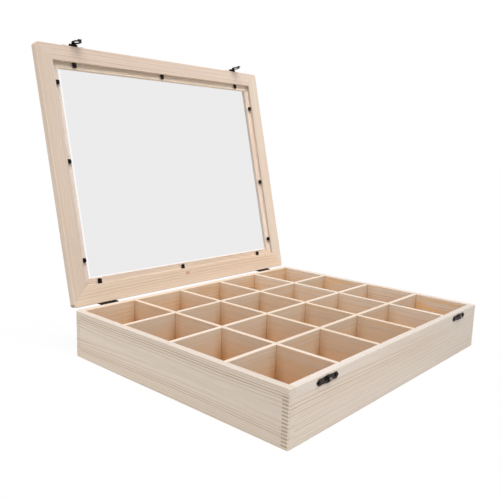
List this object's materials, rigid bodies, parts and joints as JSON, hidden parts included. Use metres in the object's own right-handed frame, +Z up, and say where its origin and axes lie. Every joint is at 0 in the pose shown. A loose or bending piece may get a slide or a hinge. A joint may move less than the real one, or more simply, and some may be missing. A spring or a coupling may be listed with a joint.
{
  "type": "rock collection display case",
  "caption": "Shallow wooden tray divided into a grid of square cells, with a hinged glazed lid leaning open and hook-and-loop latches on the front.",
  "frame": {"origin": "centre of the case's underside, on the surface it stands on", "axes": "+X to the right along the front, +Y from the latched front to the hinged back, +Z up"},
  "size_m": [0.4, 0.418, 0.3789],
  "materials": {
    "pine": "sanded bare",
    "plywood": "sanded bare",
    "glass": "clear polished",
    "antique_bronze": "dark antique",
    "black_steel": "satin black"
  },
  "bodies": {
    "case": {"case_front": "pine", "case_back": "pine", "case_left": "pine", "case_right": "pine", "divider_across_1": "pine", "divider_across_2": "pine", "divider_across_3": "pine", "divider_deep_1": "pine", "divider_deep_2": "pine", "divider_deep_3": "pine", "divider_deep_4": "pine", "case_bottom": "plywood", "hinge_case_leaf_left": "antique_bronze", "hinge_pin_left": "antique_bronze", "catch_left": "antique_bronze", "hinge_case_leaf_right": "antique_bronze", "hinge_pin_right": "antique_bronze", "catch_right": "antique_bronze", "hinge_case_screws": "antique_bronze", "catch_screws": "antique_bronze"},
    "lid": {"lid_rail_front": "pine", "lid_rail_back": "pine", "lid_stile_left": "pine", "lid_stile_right": "pine", "glass_pane": "glass", "glass_tabs": "black_steel", "hinge_lid_leaf_left": "antique_bronze", "hasp_plate_left": "antique_bronze", "hasp_pin_left": "antique_bronze", "hinge_lid_leaf_right": "antique_bronze", "hasp_plate_right": "antique_bronze", "hasp_pin_right": "antique_bronze", "hinge_lid_screws": "antique_bronze", "hasp_screws": "antique_bronze"},
    "hasp_left": {"hasp_loop_left": "antique_bronze"},
    "hasp_right": {"hasp_loop_right": "antique_bronze"}
  },
  "joints": [
    {"name": "lid", "type": "hinge", "parent": "case", "child": "lid", "pos_m": [0, 0.1647, 0.0555], "axis": [1, 0, 0], "range_deg": [0, 103.3]},
    {"name": "hasp_left", "type": "hinge", "parent": "lid", "child": "hasp_left", "pos_m": [-0.145, 0.24399, 0.37308], "axis": [-1, 0, 0], "range_deg": [0, 180]},
    {"name": "hasp_right", "type": "hinge", "parent": "lid", "child": "hasp_right", "pos_m": [0.145, 0.24399, 0.37308], "axis": [-1, 0, 0], "range_deg": [0, 180]}
  ]
}
